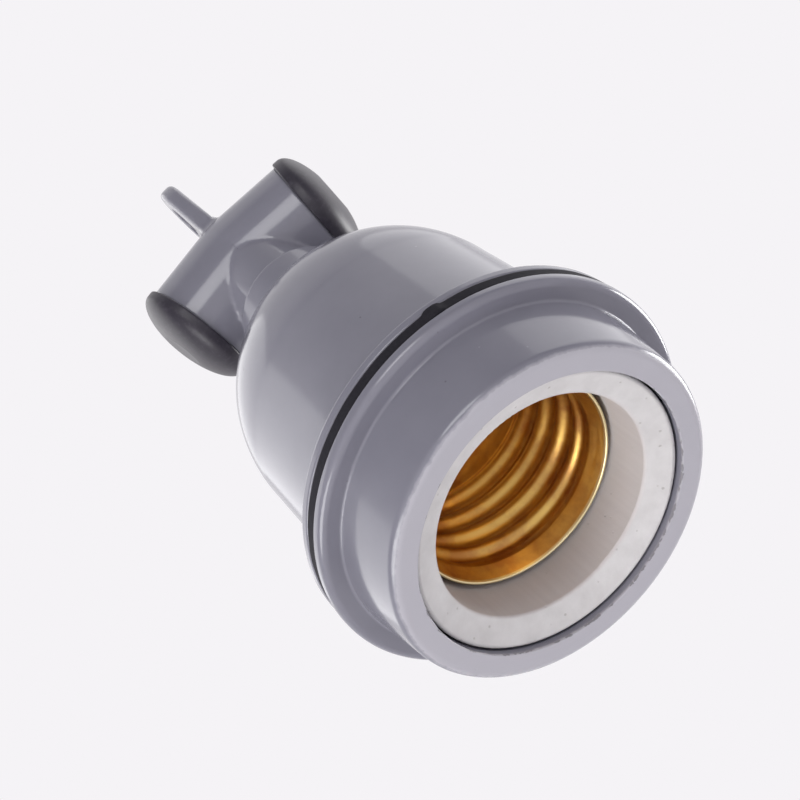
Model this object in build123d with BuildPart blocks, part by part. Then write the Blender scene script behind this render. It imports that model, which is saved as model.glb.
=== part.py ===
# Hanging lamp holder: a cast bell with a drooping cross tube and a hanging eye,
# a screwed front ring, a gasket, and a ceramic body with a brass screw shell.
# Millimetres. +Z runs from the mouth to the hanging eye, X along the cross tube.
# The origin is the centre of the front lip, the plane the holder can stand on.
from build123d import *
from math import acos, asin, atan2, cos, degrees, radians, sin, tan
import os

os.makedirs("parts", exist_ok=True)

# Front ring: a nose round the ceramic, a flange and a spigot that screws into the bell
lip_width = 3.35
lip_edge_radius = 1.2
nose_height = 10.05
nose_draft = 3.5
foot_fillet = 0.35
flange_overhang = 2.85
flange_thickness = 1.65
flange_edge_radius = 0.9
spigot_length = 8.4
spigot_wall = 0.95
spigot_chamfer = 0.4

# Gasket, clamped between the flange and the bell's rim, both a little proud of the rim
gasket_thickness = 1.8
gasket_spigot_gap = 0.3
gasket_proud = 0.12
flange_proud = 0.315
gasket_tab_width = 2.2
gasket_tab_proud = 0.55
gasket_tab_angle = -74.0

# Bell: rim, tapering skirt and domed back, all one casting with neck, tube and eye
rim_thickness = 1.35
rim_edge_radius = 0.35
rim_root_fillet = 1.3
bell_mouth_wall = 1.73
skirt_taper = 1.55
dome_height = 19.38
bell_wall = 1.75
wiring_room = 8.93
thread_clearance = 0.07

# Collar and neck between the dome and the cross tube
collar_overhang = 1.6
collar_rise = 4.62
collar_root_fillet = 1.6
collar_edge_radius = 0.5
neck_radius = 6.6
neck_wall = 2.6
neck_rise = 11.65
neck_fillet = 0.8

# Cross tube: two arms that droop towards the mouth, so rain runs off them
arm_radius = 7.53
arm_wall = 1.93
arm_length = 10.9
arm_droop = 7.8

# Rubber blanking caps in the arms
cap_lip_proud = 0.52
cap_lip_length = 0.9
cap_dome_height = 3.05
cap_end_radius = 2.9
cap_stem_length = 5.0
cap_stem_clearance = 0.05

# Hanging eye, standing on the cross tube in the plane square to it
eye_hole_radius = 3.3
eye_rim_width = 2.7
eye_thickness = 2.4
eye_centre_rise = 14.6
eye_edge_radius = 0.8
eye_hole_edge_radius = 0.4

# Ceramic body
ceramic_edge_depth = 0.8
ceramic_face_depth = 2.3
ceramic_gap = 0.3
ceramic_face_width = 3.75
ceramic_bore_draft = 0.8
ceramic_edge_radius = 0.45
ceramic_shoulder_height = 4.1
ceramic_shoulder_gap = 0.3
ceramic_back_gap = 0.9
ceramic_back_chamfer = 1.2
ceramic_floor_thickness = 6.0
ceramic_block_step = 3.8
ceramic_block_height = 5.6
terminal_pocket_margin = 1.4

# Screw shell: rounded thread for a 27 mm lamp cap, 7 turns to the inch
shell_sheet = 0.4
shell_lip_depth = 8.5
shell_length = 23.0
shell_lip_proud = 0.38
shell_lip_flare = 2.4
shell_bore_gap = 0.69
thread_major_radius = 13.3
thread_depth = 1.05
thread_pitch = 3.6286
thread_start = 4.6
thread_end = 3.886
thread_facets = 4
shell_floor_land = 1.7

# Shell rivets
rivet_radius = 1.1
rivet_head_radius = 1.7
rivet_head_height = 0.8
rivet_clearance = 0.05
rivet_wall_gap = 0.625
shell_rivet_count = 3
neutral_angle = -90.0

# Centre contact: a sprung tongue with a round tip
tongue_thickness = 0.4
tongue_width = 5.0
tongue_corner_radius = 1.2
tongue_lift = 2.0
tongue_foot_length = 3.8
tongue_shell_gap = 1.25
tongue_free_length = 5.0
tip_radius = 2.1
tip_height = 1.1
tip_shank_radius = 0.8
tip_back_head_radius = 1.4
tip_back_head_height = 0.4
tip_bend_gap = 0.4

# Terminals at the back of the ceramic
terminal_width = 7.6
terminal_depth = 5.2
terminal_height = 5.4
terminal_foot_thickness = 0.8
terminal_foot_length = 5.0
terminal_barrier_gap = 0.5
wire_hole_radius = 1.3
wire_hole_height = 2.1
clamp_screw_grip = 2.6
clamp_screw_radius = 1.5
clamp_head_radius = 2.6
clamp_head_height = 1.5
slot_width = 0.7
slot_depth = 0.7

# Earth terminal inside the dome
earth_boss_radius = 3.2
earth_boss_offset = 9.4
earth_head_gap = 1.05
earth_screw_radius = 1.5
earth_screw_grip = 2.6
earth_hole_spare = 0.3
screw_clearance = 0.05
earth_head_radius = 2.6
earth_head_height = 1.3
earth_washer_radius = 3.1
earth_washer_thickness = 0.6

# Heights from the mouth to the wiring space
foot_z = nose_height
flange_back_z = foot_z + flange_thickness
rim_z = flange_back_z + gasket_thickness
skirt_z = rim_z + rim_thickness
spigot_end_z = flange_back_z + spigot_length
shoulder_z = spigot_end_z + ceramic_shoulder_gap
seat_z = shoulder_z + ceramic_shoulder_height
floor_z = shell_lip_depth + shell_length
floor_back_z = floor_z + ceramic_floor_thickness
block_top_z = floor_back_z + ceramic_block_height
terminal_top_z = floor_back_z + terminal_height
shell_floor_z = floor_z - shell_sheet
tongue_foot_z = floor_z - tongue_thickness
tongue_top_z = tongue_foot_z - tongue_lift
tongue_back_z = tongue_top_z + tongue_thickness
earth_boss_z = block_top_z + earth_head_gap + earth_head_height + earth_washer_thickness

# Heights from the dome, which closes over the wiring space, to the eye
apex_z = block_top_z + wiring_room + bell_wall
dome_z = apex_z - dome_height
dome_inner_height = dome_height - bell_wall
collar_z = apex_z + collar_rise
tube_z = collar_z + neck_rise
eye_z = tube_z + eye_centre_rise

# Radii, built outwards from the thread of the screw shell
thread_minor_radius = thread_major_radius - thread_depth
root_radius = (thread_minor_radius + thread_major_radius) / 2
shell_outer_radius = thread_major_radius + shell_sheet
shell_lip_radius = shell_outer_radius + shell_lip_proud
ceramic_floor_radius = shell_outer_radius + shell_bore_gap
bore_widening = (floor_z - ceramic_face_depth) * tan(radians(ceramic_bore_draft))
ceramic_mouth_radius = ceramic_floor_radius + bore_widening
ceramic_radius = ceramic_mouth_radius + ceramic_face_width
ring_bore_radius = ceramic_radius + ceramic_gap
spigot_radius = ring_bore_radius + spigot_wall
lip_radius = ring_bore_radius + lip_width
foot_radius = lip_radius + nose_height * tan(radians(nose_draft))
flange_radius = foot_radius + flange_overhang
rim_radius = flange_radius - flange_proud
gasket_radius = rim_radius + gasket_proud
bell_bore_radius = spigot_radius + thread_clearance
shoulder_radius = bell_bore_radius - ceramic_shoulder_gap
skirt_front_radius = bell_bore_radius + bell_mouth_wall
skirt_back_radius = skirt_front_radius - skirt_taper
bell_inner_radius = skirt_back_radius - bell_wall
ceramic_back_radius = bell_inner_radius - ceramic_back_gap
ceramic_block_radius = ceramic_back_radius - ceramic_block_step

# Radii of neck, cross tube, caps and eye
neck_bore_radius = neck_radius - neck_wall
collar_radius = neck_radius + collar_overhang
arm_bore_radius = arm_radius - arm_wall
cap_lip_radius = arm_radius + cap_lip_proud
eye_outer_radius = eye_hole_radius + eye_rim_width

# Places of the rivets and terminals, inwards from the shell's wall
shell_rivet_circle = root_radius - rivet_wall_gap - rivet_head_radius
shell_floor_hole_radius = shell_rivet_circle - shell_floor_land
live_rivet_y = shell_floor_hole_radius - tongue_shell_gap - tongue_foot_length / 2
foot_inner_y = live_rivet_y - tongue_foot_length / 2
slope_end_y = tip_back_head_radius + tip_bend_gap
near_y = live_rivet_y - terminal_foot_length / 2
pocket_start = near_y - terminal_barrier_gap


def ball_of(radius, height):
    """Radius of the ball whose cap has this foot radius and height."""
    return (radius**2 + height**2) / (2 * height)


def dome_arc(radius, height, inner_radius):
    """Arc of a spherical dome, from its foot up to a smaller radius."""
    ball_radius = ball_of(radius, height)
    ball_z = dome_z + height - ball_radius
    start = degrees(asin((dome_z - ball_z) / ball_radius))
    end = degrees(acos(inner_radius / ball_radius))
    return CenterArc((0, ball_z), ball_radius, start, end - start)


def round_head(radius, height, base_z):
    """Arc of a domed head that bulges below its base, from its top on the axis out to its edge."""
    return RadiusArc((0, base_z - height), (radius, base_z), -ball_of(radius, height))


def arm_plane(side, along=0.0):
    """Plane square to one drooping arm, at a distance from the middle of the cross tube."""
    droop = radians(arm_droop)
    direction = Vector(side * cos(droop), 0, -sin(droop))
    return Plane(origin=Vector(0, 0, tube_z) + direction * along, x_dir=(0, 1, 0), z_dir=direction)


def corner(sketch, x, y):
    """The vertex of a sketch that lies nearest to a point."""
    return sketch.vertices().sort_by_distance((x, y))[0]


# Front ring
with BuildPart() as front_ring:
    with BuildSketch(Plane.XZ) as ring_section:
        with BuildLine():
            Polyline(
                (ring_bore_radius, 0),
                (lip_radius, 0),
                (foot_radius, foot_z),
                (flange_radius, foot_z),
                (flange_radius, flange_back_z),
                (spigot_radius, flange_back_z),
                (spigot_radius, spigot_end_z),
                (ring_bore_radius, spigot_end_z),
                close=True,
            )
        make_face()
        fillet(corner(ring_section, lip_radius, 0), lip_edge_radius)
        fillet(corner(ring_section, foot_radius, foot_z), foot_fillet)
        fillet(corner(ring_section, flange_radius, foot_z), flange_edge_radius)
        chamfer(corner(ring_section, spigot_radius, spigot_end_z), spigot_chamfer)
    revolve(axis=Axis.Z)

# Gasket, with the moulding tab on its edge
with BuildPart() as gasket:
    with BuildSketch(Plane.XY.offset(flange_back_z)):
        Circle(gasket_radius)
        with PolarLocations(gasket_radius, 1, start_angle=gasket_tab_angle):
            RectangleRounded(2 * gasket_tab_proud, gasket_tab_width, gasket_tab_proud / 2)
        Circle(spigot_radius + gasket_spigot_gap, mode=Mode.SUBTRACT)
    extrude(amount=gasket_thickness)

# Hollow of the bell, with the column of the earth boss left out of it
with BuildPart() as bell_cavity:
    with BuildSketch(Plane.XZ):
        with BuildLine():
            inner_arc = dome_arc(bell_inner_radius, dome_inner_height, neck_bore_radius)
            Polyline(
                inner_arc @ 1,
                (neck_bore_radius, tube_z),
                (0, tube_z),
                (0, rim_z),
                (bell_bore_radius, rim_z),
                (bell_bore_radius, seat_z),
                (bell_inner_radius, seat_z),
                inner_arc @ 0,
            )
        make_face()
    revolve(axis=Axis.Z)
    with BuildSketch(Plane.XY.offset(earth_boss_z)):
        with Locations((-earth_boss_offset, 0)):
            Circle(earth_boss_radius)
    extrude(amount=dome_height, mode=Mode.SUBTRACT)

# Hanging eye with rounded edges, down to the middle of the cross tube
with BuildPart() as hanging_eye:
    with BuildSketch(Plane.YZ.offset(-eye_thickness / 2)):
        with Locations((0, eye_z)):
            Circle(eye_outer_radius)
        with Locations((0, (tube_z + eye_z) / 2)):
            Rectangle(2 * eye_outer_radius, eye_z - tube_z)
    extrude(amount=eye_thickness)
    fillet(hanging_eye.faces().filter_by(Axis.X).edges(), eye_edge_radius)
    with BuildSketch(Plane.YZ.offset(-eye_thickness / 2)):
        with Locations((0, eye_z)):
            Circle(eye_hole_radius)
    extrude(amount=eye_thickness, mode=Mode.SUBTRACT)
    fillet(hanging_eye.faces().filter_by(Axis.X).edges().filter_by(GeomType.CIRCLE), eye_hole_edge_radius)


def cross_rod(radius):
    """Solid rod along both arms, mitred in the plane between them."""
    with BuildPart() as rod:
        with BuildSketch(arm_plane(1, -radius)):
            Circle(radius)
        extrude(amount=radius + arm_length)
        split(bisect_by=Plane.YZ)
        mirror(about=Plane.YZ)
    return rod.part


# Bell, neck, cross tube and hanging eye: one casting
cross_tube = cross_rod(arm_radius)
cross_bore = cross_rod(arm_bore_radius)
with BuildPart() as housing:
    with BuildSketch(Plane.XZ) as bell_section:
        with BuildLine():
            outer_arc = dome_arc(skirt_back_radius, dome_height, collar_radius)
            Polyline(
                outer_arc @ 1,
                (collar_radius, collar_z),
                (neck_radius, collar_z),
                (neck_radius, tube_z),
                (0, tube_z),
                (0, rim_z),
                (rim_radius, rim_z),
                (rim_radius, skirt_z),
                (skirt_front_radius, skirt_z),
                outer_arc @ 0,
            )
        make_face()
        fillet(corner(bell_section, rim_radius, rim_z), rim_edge_radius)
        fillet(corner(bell_section, rim_radius, skirt_z), rim_edge_radius)
        fillet(corner(bell_section, skirt_front_radius, skirt_z), rim_root_fillet)
        fillet(corner(bell_section, collar_radius, (outer_arc @ 1).Y), collar_root_fillet)
        fillet(corner(bell_section, collar_radius, collar_z), collar_edge_radius)
        fillet(corner(bell_section, neck_radius, collar_z), neck_fillet)
    revolve(axis=Axis.Z)
    add(cross_tube)
    add(hanging_eye.part)
    add(bell_cavity.part, mode=Mode.SUBTRACT)
    add(cross_bore, mode=Mode.SUBTRACT)
    with BuildSketch(Plane.XY.offset(earth_boss_z)):
        with Locations((-earth_boss_offset, 0)):
            Circle(earth_screw_radius + screw_clearance)
    extrude(amount=earth_screw_grip + earth_hole_spare, mode=Mode.SUBTRACT)

# Rubber blanking caps
caps = {}
for side, name in ((-1, "left_cap"), (1, "right_cap")):
    with BuildPart() as cap:
        with BuildSketch(Plane.XZ) as cap_section:
            with BuildLine():
                dome_angle = degrees(acos(cap_end_radius / cap_lip_radius))
                cap_arc = EllipticalCenterArc(
                    (0, cap_lip_length), cap_lip_radius, cap_dome_height, start_angle=0, arc_size=dome_angle
                )
                Polyline(
                    cap_arc @ 1,
                    (0, (cap_arc @ 1).Y),
                    (0, -cap_stem_length),
                    (arm_bore_radius - cap_stem_clearance, -cap_stem_length),
                    (arm_bore_radius - cap_stem_clearance, 0),
                    (cap_lip_radius, 0),
                    cap_arc @ 0,
                )
            make_face()
        revolve(axis=Axis.Z)
    caps[name] = arm_plane(side, arm_length).location * cap.part

# Ceramic body
with BuildPart() as ceramic_body:
    with BuildSketch(Plane.XZ) as ceramic_section:
        with BuildLine():
            Polyline(
                (ceramic_mouth_radius, ceramic_face_depth),
                (ceramic_radius, ceramic_edge_depth),
                (ceramic_radius, shoulder_z),
                (shoulder_radius, shoulder_z),
                (shoulder_radius, seat_z),
                (ceramic_back_radius, seat_z),
                (ceramic_back_radius, floor_back_z),
                (ceramic_block_radius, floor_back_z),
                (ceramic_block_radius, block_top_z),
                (0, block_top_z),
                (0, floor_z),
                (ceramic_floor_radius, floor_z),
                close=True,
            )
        make_face()
        fillet(corner(ceramic_section, ceramic_mouth_radius, ceramic_face_depth), ceramic_edge_radius)
        fillet(corner(ceramic_section, ceramic_radius, ceramic_edge_depth), ceramic_edge_radius)
        chamfer(corner(ceramic_section, ceramic_back_radius, floor_back_z), ceramic_back_chamfer)
        fillet(corner(ceramic_section, ceramic_block_radius, block_top_z), ceramic_edge_radius)
    revolve(axis=Axis.Z)
    with BuildSketch(Plane.XY.offset(floor_back_z)):
        for side in (-1, 1):
            with Locations((0, side * (pocket_start + ceramic_block_radius / 2))):
                Rectangle(terminal_width + 2 * terminal_pocket_margin, ceramic_block_radius)
    extrude(amount=ceramic_block_height, mode=Mode.SUBTRACT)
    with BuildSketch(Plane.XY.offset(floor_z)):
        with PolarLocations(shell_rivet_circle, shell_rivet_count, start_angle=neutral_angle):
            Circle(rivet_radius + rivet_clearance)
        with Locations((0, live_rivet_y)):
            Circle(rivet_radius + rivet_clearance)
    extrude(amount=ceramic_floor_thickness, mode=Mode.SUBTRACT)
    with BuildSketch(Plane.XY.offset(floor_back_z)):
        with PolarLocations(shell_rivet_circle, shell_rivet_count, start_angle=neutral_angle):
            Circle(rivet_head_radius + terminal_barrier_gap)
    extrude(amount=ceramic_block_height, mode=Mode.SUBTRACT)

# Screw shell: thin sheet with the rounded thread rolled into it
thread_z = shell_lip_depth + thread_start
thread_height = shell_length - thread_start - thread_end
half_form = thread_pitch / 4


def thread_form(base_radius, tip_radius, height):
    """Rounded rib or groove that follows the screw thread, in a few facets, as a solid of its own."""
    with BuildPart() as form:
        with BuildLine() as path:
            Helix(thread_pitch, thread_height, base_radius, center=(0, 0, height))
        with BuildSketch(Plane.XZ):
            with BuildLine():
                arc = ThreePointArc(
                    (base_radius, height - half_form),
                    (tip_radius, height),
                    (base_radius, height + half_form),
                    mode=Mode.PRIVATE,
                )
                Polyline(*[arc @ (step / thread_facets) for step in range(thread_facets + 1)], close=True)
            make_face()
        sweep(path=path.line, is_frenet=True)
    return form.part


thread_rib = thread_form(root_radius + shell_sheet / 2, thread_minor_radius, thread_z)
inner_groove = thread_form(root_radius - shell_sheet / 2, thread_major_radius, thread_z + thread_pitch / 2)
outer_groove = thread_form(
    shell_outer_radius + shell_sheet / 2, thread_minor_radius + shell_sheet, thread_z
)
with BuildPart() as screw_shell:
    with BuildSketch(Plane.XZ):
        with BuildLine():
            Polyline(
                (shell_lip_radius - shell_sheet, shell_lip_depth),
                (shell_lip_radius, shell_lip_depth),
                (shell_outer_radius, shell_lip_depth + shell_lip_flare),
                (shell_outer_radius, floor_z),
                (shell_floor_hole_radius, floor_z),
                (shell_floor_hole_radius, shell_floor_z),
                (root_radius, shell_floor_z),
                (root_radius, shell_lip_depth + shell_lip_flare),
                close=True,
            )
        make_face()
    revolve(axis=Axis.Z)
    add(thread_rib)
    add(inner_groove, mode=Mode.SUBTRACT)
    add(outer_groove, mode=Mode.SUBTRACT)
    with BuildSketch(Plane.XY.offset(shell_floor_z)):
        with PolarLocations(shell_rivet_circle, shell_rivet_count, start_angle=neutral_angle):
            Circle(rivet_radius + rivet_clearance)
    extrude(amount=shell_sheet, mode=Mode.SUBTRACT)


def rivet(grip):
    """Rivet along Z: a domed head below the origin, a shank of this grip and a flat head."""
    with BuildPart() as piece:
        with BuildSketch(Plane.XZ):
            with BuildLine():
                dome = round_head(rivet_head_radius, rivet_head_height, 0)
                Polyline(
                    dome @ 1,
                    (rivet_radius, 0),
                    (rivet_radius, grip),
                    (rivet_head_radius, grip),
                    (rivet_head_radius, grip + rivet_head_height),
                    (0, grip + rivet_head_height),
                    dome @ 0,
                )
            make_face()
        revolve(axis=Axis.Z)
    return piece.part


def slotted_screw(shank_radius, shank_length, head_radius, head_height):
    """Screw along Z: a slotted cheese head below the origin and a shank above it."""
    with BuildPart() as piece:
        with BuildSketch(Plane.XY):
            Circle(shank_radius)
        extrude(amount=shank_length)
        with BuildSketch(Plane.XY):
            Circle(head_radius)
        extrude(amount=-head_height)
        with BuildSketch(Plane.XY.offset(-head_height)):
            Rectangle(2 * head_radius, slot_width)
        extrude(amount=slot_depth, mode=Mode.SUBTRACT)
    return piece.part


# Rivets that hold the shell, with the terminal foot under the one that carries current
foot_grip = ceramic_floor_thickness + terminal_foot_thickness
rivet_step = 360 / shell_rivet_count
with BuildPart() as shell_rivets:
    with PolarLocations(
        shell_rivet_circle,
        shell_rivet_count - 1,
        start_angle=neutral_angle + rivet_step,
        angular_range=360 - rivet_step,
    ):
        with Locations((0, 0, shell_floor_z)):
            add(rivet(shell_sheet + ceramic_floor_thickness))

with BuildPart() as neutral_rivet:
    with Locations((0, -shell_rivet_circle, shell_floor_z)):
        add(rivet(shell_sheet + foot_grip))

with BuildPart() as live_rivet:
    with Locations((0, live_rivet_y, tongue_foot_z)):
        add(rivet(tongue_thickness + foot_grip))

# Centre contact: a bronze tongue with its foot under the live rivet, and a round tip
bend_shift = tongue_thickness * tan(atan2(tongue_lift, foot_inner_y - slope_end_y) / 2)
with BuildPart() as contact_tongue:
    with BuildSketch(Plane.YZ):
        with BuildLine():
            Polyline(
                (foot_inner_y + tongue_foot_length, floor_z),
                (foot_inner_y + tongue_foot_length, tongue_foot_z),
                (foot_inner_y, tongue_foot_z),
                (slope_end_y, tongue_top_z),
                (slope_end_y - tongue_free_length, tongue_top_z),
                (slope_end_y - tongue_free_length, tongue_top_z + tongue_thickness),
                (slope_end_y - bend_shift, tongue_top_z + tongue_thickness),
                (foot_inner_y - bend_shift, floor_z),
                close=True,
            )
        make_face()
    extrude(amount=tongue_width / 2, both=True)
    fillet(contact_tongue.edges().filter_by(Axis.Z), tongue_corner_radius)
    with BuildSketch(Plane.XY.offset(tongue_top_z)):
        Circle(tip_shank_radius + rivet_clearance)
        with Locations((0, live_rivet_y)):
            Circle(rivet_radius + rivet_clearance)
    extrude(amount=tongue_lift + tongue_thickness, mode=Mode.SUBTRACT)

with BuildPart() as contact_tip:
    with BuildSketch(Plane.XZ):
        with BuildLine():
            tip_dome = round_head(tip_radius, tip_height, tongue_top_z)
            Polyline(
                tip_dome @ 1,
                (tip_shank_radius, tongue_top_z),
                (tip_shank_radius, tongue_back_z),
                (tip_back_head_radius, tongue_back_z),
                (tip_back_head_radius, tongue_back_z + tip_back_head_height),
                (0, tongue_back_z + tip_back_head_height),
                tip_dome @ 0,
            )
        make_face()
    revolve(axis=Axis.Z)


def terminal(side, foot_start, block_start, rivet_y):
    """Brass terminal in its pocket: a riveted foot beside a block with a wire hole."""
    block_y = side * (block_start + terminal_depth / 2)
    with BuildPart() as piece:
        with BuildSketch(Plane.XY.offset(floor_back_z)):
            with Locations((0, side * (foot_start + terminal_foot_length / 2))):
                Rectangle(terminal_width, terminal_foot_length)
        extrude(amount=terminal_foot_thickness)
        with BuildSketch(Plane.XY.offset(floor_back_z)):
            with Locations((0, block_y)):
                Rectangle(terminal_width, terminal_depth)
        extrude(amount=terminal_height)
        with BuildSketch(Plane.XY.offset(floor_back_z)):
            with Locations((0, side * rivet_y)):
                Circle(rivet_radius + rivet_clearance)
        extrude(amount=terminal_foot_thickness, mode=Mode.SUBTRACT)
        with BuildSketch(Plane.YZ):
            with Locations((block_y, floor_back_z + wire_hole_height)):
                Circle(wire_hole_radius)
        extrude(amount=terminal_width, both=True, mode=Mode.SUBTRACT)
        with BuildSketch(Plane.XY.offset(floor_back_z + wire_hole_height)):
            with Locations((0, block_y)):
                Circle(clamp_screw_radius + screw_clearance)
        extrude(amount=terminal_height, mode=Mode.SUBTRACT)
    return piece.part


# Live terminal, with its foot towards the middle, and neutral terminal, with it outwards
live_terminal = terminal(1, near_y, near_y + terminal_foot_length, live_rivet_y)
neutral_terminal = terminal(-1, near_y + terminal_depth, near_y, shell_rivet_circle)

# Clamp screws, head up on the terminals
clamp_screw = slotted_screw(clamp_screw_radius, clamp_screw_grip, clamp_head_radius, clamp_head_height)
live_screw_y = near_y + terminal_foot_length + terminal_depth / 2
neutral_screw_y = -(near_y + terminal_depth / 2)
live_clamp_screw = Pos(0, live_screw_y, terminal_top_z) * Rot(X=180) * clamp_screw
neutral_clamp_screw = Pos(0, neutral_screw_y, terminal_top_z) * Rot(X=180) * clamp_screw

# Earth screw and washer on the boss in the dome
with BuildPart() as earth_washer:
    with BuildSketch(Plane.XY.offset(earth_boss_z)):
        with Locations((-earth_boss_offset, 0)):
            Circle(earth_washer_radius)
            Circle(earth_screw_radius + screw_clearance, mode=Mode.SUBTRACT)
    extrude(amount=-earth_washer_thickness)
earth_screw = Pos(-earth_boss_offset, 0, earth_boss_z - earth_washer_thickness) * slotted_screw(
    earth_screw_radius, earth_screw_grip + earth_washer_thickness, earth_head_radius, earth_head_height
)

nodes = {
    "housing": housing.part,
    "front_ring": front_ring.part,
    "gasket": gasket.part,
    "ceramic_body": ceramic_body.part,
    "screw_shell": screw_shell.part,
    "shell_rivets": shell_rivets.part,
    "neutral_rivet": neutral_rivet.part,
    "live_rivet": live_rivet.part,
    "contact_tongue": contact_tongue.part,
    "contact_tip": contact_tip.part,
    "live_terminal": live_terminal,
    "neutral_terminal": neutral_terminal,
    "live_clamp_screw": live_clamp_screw,
    "neutral_clamp_screw": neutral_clamp_screw,
    "earth_screw": earth_screw,
    "earth_washer": earth_washer.part,
    "left_cap": caps["left_cap"],
    "right_cap": caps["right_cap"],
}
for name, shape in nodes.items():
    shape.label = name
    export_step(shape, f"parts/{name}.step")
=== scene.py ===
# %% [markdown]
# # A hanging lamp holder, dressed for its portrait
# The holder is a grey enamelled casting with a drooping cross tube and a hanging eye. A screwed ring of
# the same grey clamps a white ceramic body and a black gasket, and a rolled brass shell waits in the
# ceramic for the lamp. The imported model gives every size; this lesson gives each surface its finish.

# %% Load the frame
import math

import bmesh
import bpy
from mathutils import Matrix, Quaternion, Vector, kdtree


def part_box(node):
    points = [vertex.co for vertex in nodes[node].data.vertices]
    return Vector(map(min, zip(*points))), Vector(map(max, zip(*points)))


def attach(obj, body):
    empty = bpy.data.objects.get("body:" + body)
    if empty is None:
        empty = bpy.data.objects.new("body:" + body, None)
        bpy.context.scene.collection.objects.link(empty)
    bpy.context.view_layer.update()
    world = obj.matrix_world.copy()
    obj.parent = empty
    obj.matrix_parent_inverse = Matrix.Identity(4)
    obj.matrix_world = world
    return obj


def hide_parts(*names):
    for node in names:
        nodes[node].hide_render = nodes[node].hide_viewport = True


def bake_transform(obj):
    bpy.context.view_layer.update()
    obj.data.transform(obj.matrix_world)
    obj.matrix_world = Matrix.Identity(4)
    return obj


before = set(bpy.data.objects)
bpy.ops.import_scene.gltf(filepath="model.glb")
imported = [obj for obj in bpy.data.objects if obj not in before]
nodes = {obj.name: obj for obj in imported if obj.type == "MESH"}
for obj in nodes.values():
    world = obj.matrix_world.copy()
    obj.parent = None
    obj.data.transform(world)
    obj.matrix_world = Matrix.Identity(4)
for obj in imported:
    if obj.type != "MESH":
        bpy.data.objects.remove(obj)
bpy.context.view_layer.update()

# %% [markdown]
# ## Units and colours
# The frame is in metres, and a lamp holder is thought of in millimetres. So every size below is written
# in millimetres and turned to metres once, when a mesh is made. Colours are written as a painter would
# read them off a swatch, in sRGB hex, while the renderer mixes light in linear values. One function
# turns the one into the other.

# %% Millimetres and hex colours
MM = 0.001


def linear(swatch):
    """Linear red, green, blue and alpha of an sRGB hex swatch such as '7F7E89'."""
    levels = [int(swatch[i : i + 2], 16) / 255 for i in (0, 2, 4)]
    mixed = [c / 12.92 if c <= 0.04045 else ((c + 0.055) / 1.055) ** 2.4 for c in levels]
    return (*mixed, 1.0)


print("enamel grey is", [round(c, 3) for c in linear("7F7E89")])

# %% [markdown]
# ## The camera first
# The picture was taken from in front of the mouth and below it, with the camera rolled so that the lamp's
# axis runs from the lower right to the upper left. A long lens keeps the round rims nearly true ellipses.
# A camera is easiest to read as three facts: where it stands, what it looks at, and how far it is rolled.

# %% Camera
camera_place = Vector((-23.155, -259.169, -232.856)) * MM
camera_target = Vector((-0.934, 1.623, 33.489)) * MM
camera_roll = -50.25
focal_length = 135.0

camera_data = bpy.data.cameras.new("portrait_camera")
camera_data.sensor_width = 36.0
camera_data.lens = focal_length
camera_data.clip_start = 0.01
camera = bpy.data.objects.new("portrait_camera", camera_data)
bpy.context.scene.collection.objects.link(camera)
camera.location = camera_place
camera.rotation_mode = "QUATERNION"
level = (camera_target - camera_place).to_track_quat("-Z", "Y")
camera.rotation_quaternion = level @ Quaternion((0, 0, 1), math.radians(camera_roll))
bpy.context.scene.camera = camera
print("camera stands", round((camera_target - camera_place).length / MM), "mm from its target")

# %% [markdown]
# ## Profiles with soft corners
# Almost every piece here is turned, pressed or cast in the round, so one half outline tells its form.
# Real outlines have no sharp corners: paint, tool and mould round them all. The next function takes the
# corners of an outline, each with its own rounding, and gives the points along the softened line. It also
# sets a point just before and after each rounding, which keeps the flats between them flat when shaded.

# %% Softened outline
guard_length = 0.12
arc_step = math.radians(15)


def soften(corners):
    """Points of a closed outline whose corners, (radius, height, rounding) in mm, are rounded."""
    points = []
    count = len(corners)
    for i, (r, z, rounding) in enumerate(corners):
        here = Vector((r, z))
        before = Vector(corners[i - 1][:2]) - here
        after = Vector(corners[(i + 1) % count][:2]) - here
        if rounding == 0:
            points.append(here)
            continue
        half = before.angle(after) / 2
        reach = rounding / math.tan(half)
        start = here + before.normalized() * reach
        end = here + after.normalized() * reach
        inwards = (before.normalized() + after.normalized()).normalized()
        centre = here + inwards * rounding / math.sin(half)
        turn = math.pi - 2 * half
        steps = max(3, math.ceil(turn / arc_step))
        first = start - centre
        sign = 1 if first.x * (end - centre).y - first.y * (end - centre).x > 0 else -1
        if before.length > reach + 3 * guard_length:
            points.append(start + before.normalized() * guard_length)
        for k in range(steps + 1):
            angle = sign * turn * k / steps
            spun = Vector((
                first.x * math.cos(angle) - first.y * math.sin(angle),
                first.x * math.sin(angle) + first.y * math.cos(angle),
            ))
            points.append(centre + spun)
        if after.length > reach + 3 * guard_length:
            points.append(end + after.normalized() * guard_length)
    return [(p.x, p.y) for p in points]


def divided(points, longest):
    """The same closed outline with its long runs divided, so that no run is longer than this."""
    filled = []
    for i, (r, z) in enumerate(points):
        nr, nz = points[(i + 1) % len(points)]
        on_axis = r < 1e-6 and nr < 1e-6
        pieces = 1 if on_axis else max(1, math.ceil(math.hypot(nr - r, nz - z) / longest))
        filled += [(r + (nr - r) * k / pieces, z + (nz - z) * k / pieces) for k in range(pieces)]
    return filled


square = [(1, 0, 0.2), (2, 0, 0.2), (2, 1, 0.2), (1, 1, 0.2)]
print("a square with soft corners has", len(soften(square)), "points")

# %% [markdown]
# ## Turning an outline into a mesh
# A lathe turns the outline about the lamp's axis. Each point of the outline becomes one ring of vertices,
# and a point on the axis becomes a single one. An optional change lets a ring breathe a little as it
# goes round, which is how a rolled thread, a small tab or an uneven rubber edge comes in.

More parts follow.
